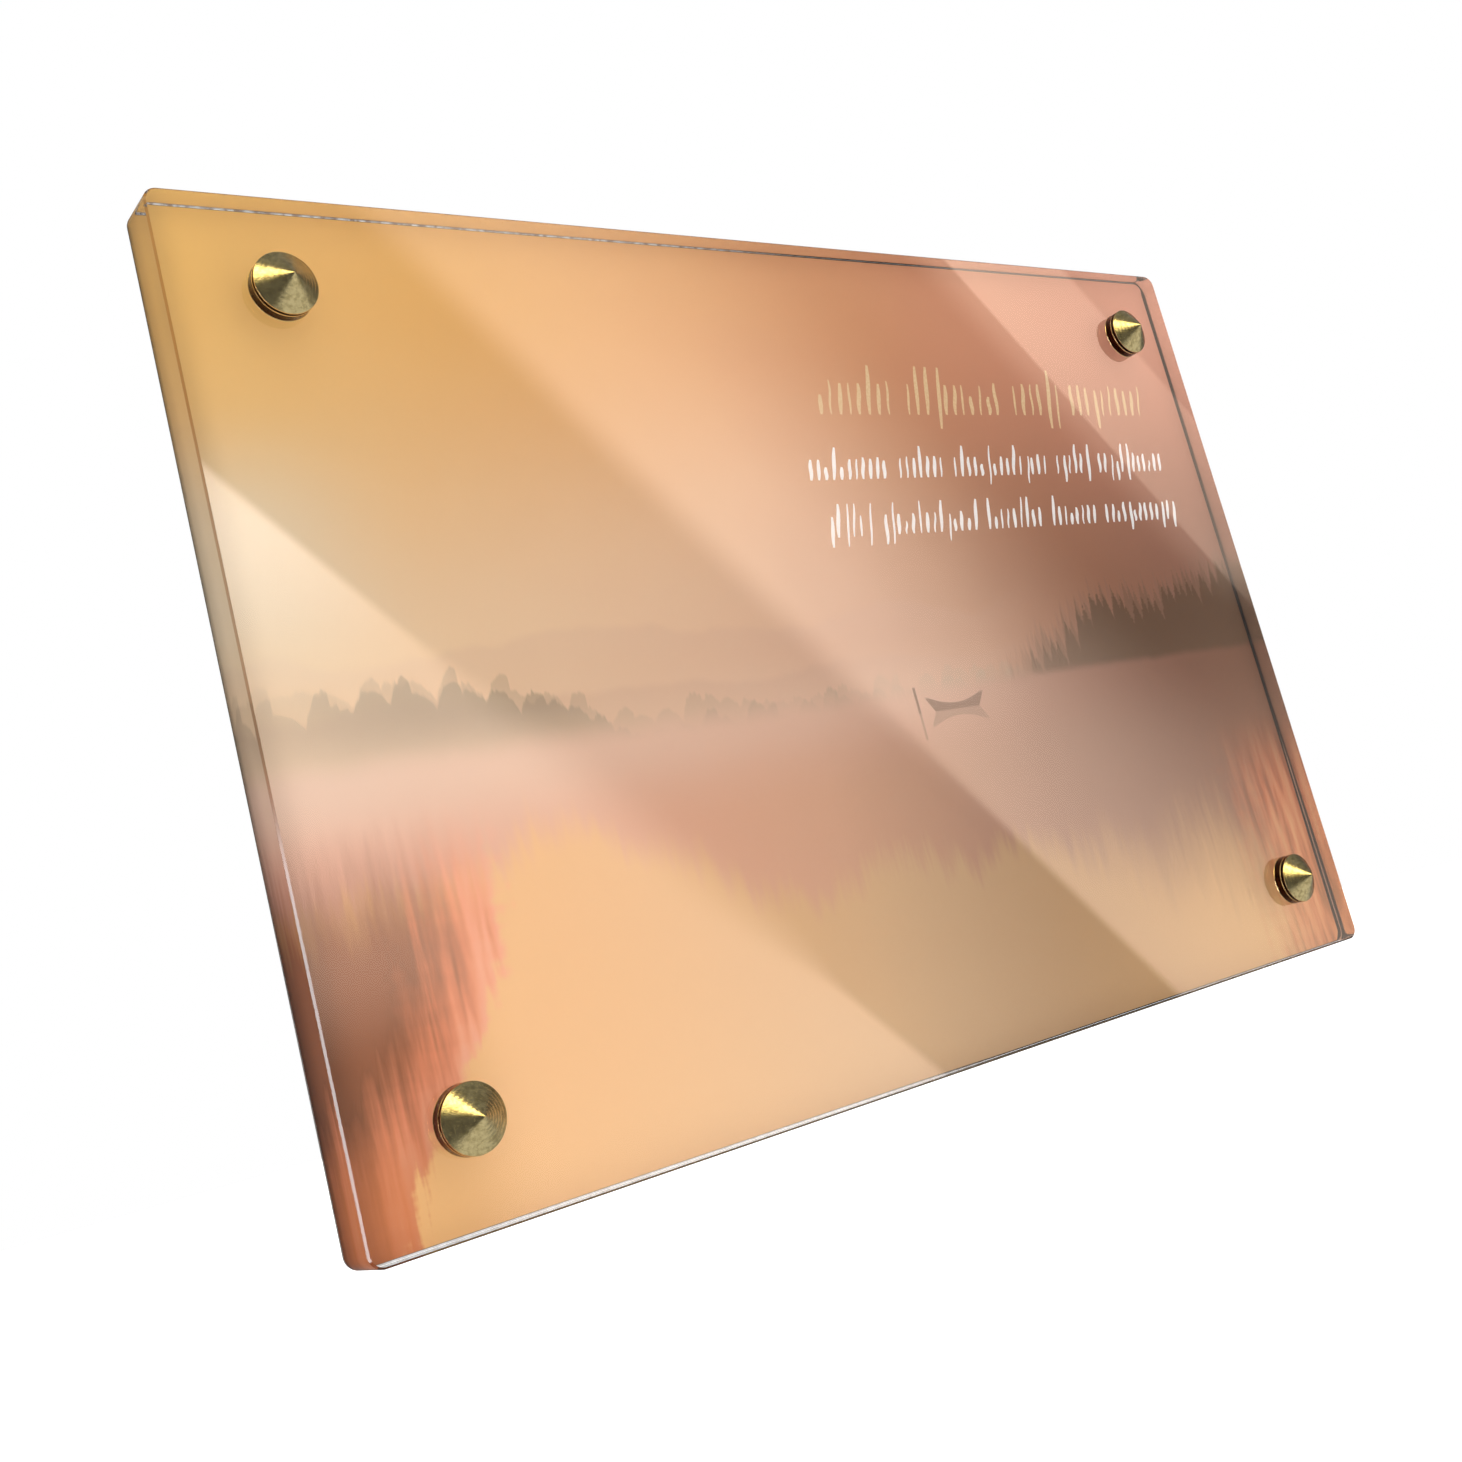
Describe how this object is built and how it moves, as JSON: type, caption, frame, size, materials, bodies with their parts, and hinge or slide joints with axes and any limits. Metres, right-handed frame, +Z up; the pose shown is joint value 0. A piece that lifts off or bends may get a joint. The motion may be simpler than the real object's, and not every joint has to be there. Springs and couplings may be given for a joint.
{
  "type": "commemorative plaque",
  "caption": "Wall-fixed commemorative plaque: clear acrylic panel with rounded corners, printed film behind it, and conical brass screw caps near the corners.",
  "frame": {"origin": "middle of the plaque's back face, which goes against the wall", "axes": "+X along the width to the right as seen from the front, +Z up, +Y into the wall, so the front faces -Y"},
  "size_m": [0.3, 0.0183, 0.2],
  "materials": {
    "clear_acrylic": "clear, polished",
    "printed_film": "printed picture in gold, rose and peach",
    "brass_base": "turned and polished",
    "brass_cone": "turned, fine lathe marks"
  },
  "bodies": {
    "root": {"acrylic_panel": "clear_acrylic", "printed_film": "printed_film", "cap_base_upper_left": "brass_base", "cap_base_upper_right": "brass_base", "cap_base_lower_left": "brass_base", "cap_base_lower_right": "brass_base", "cap_cone_upper_left": "brass_cone", "cap_cone_upper_right": "brass_cone", "cap_cone_lower_left": "brass_cone", "cap_cone_lower_right": "brass_cone"}
  },
  "joints": []
}
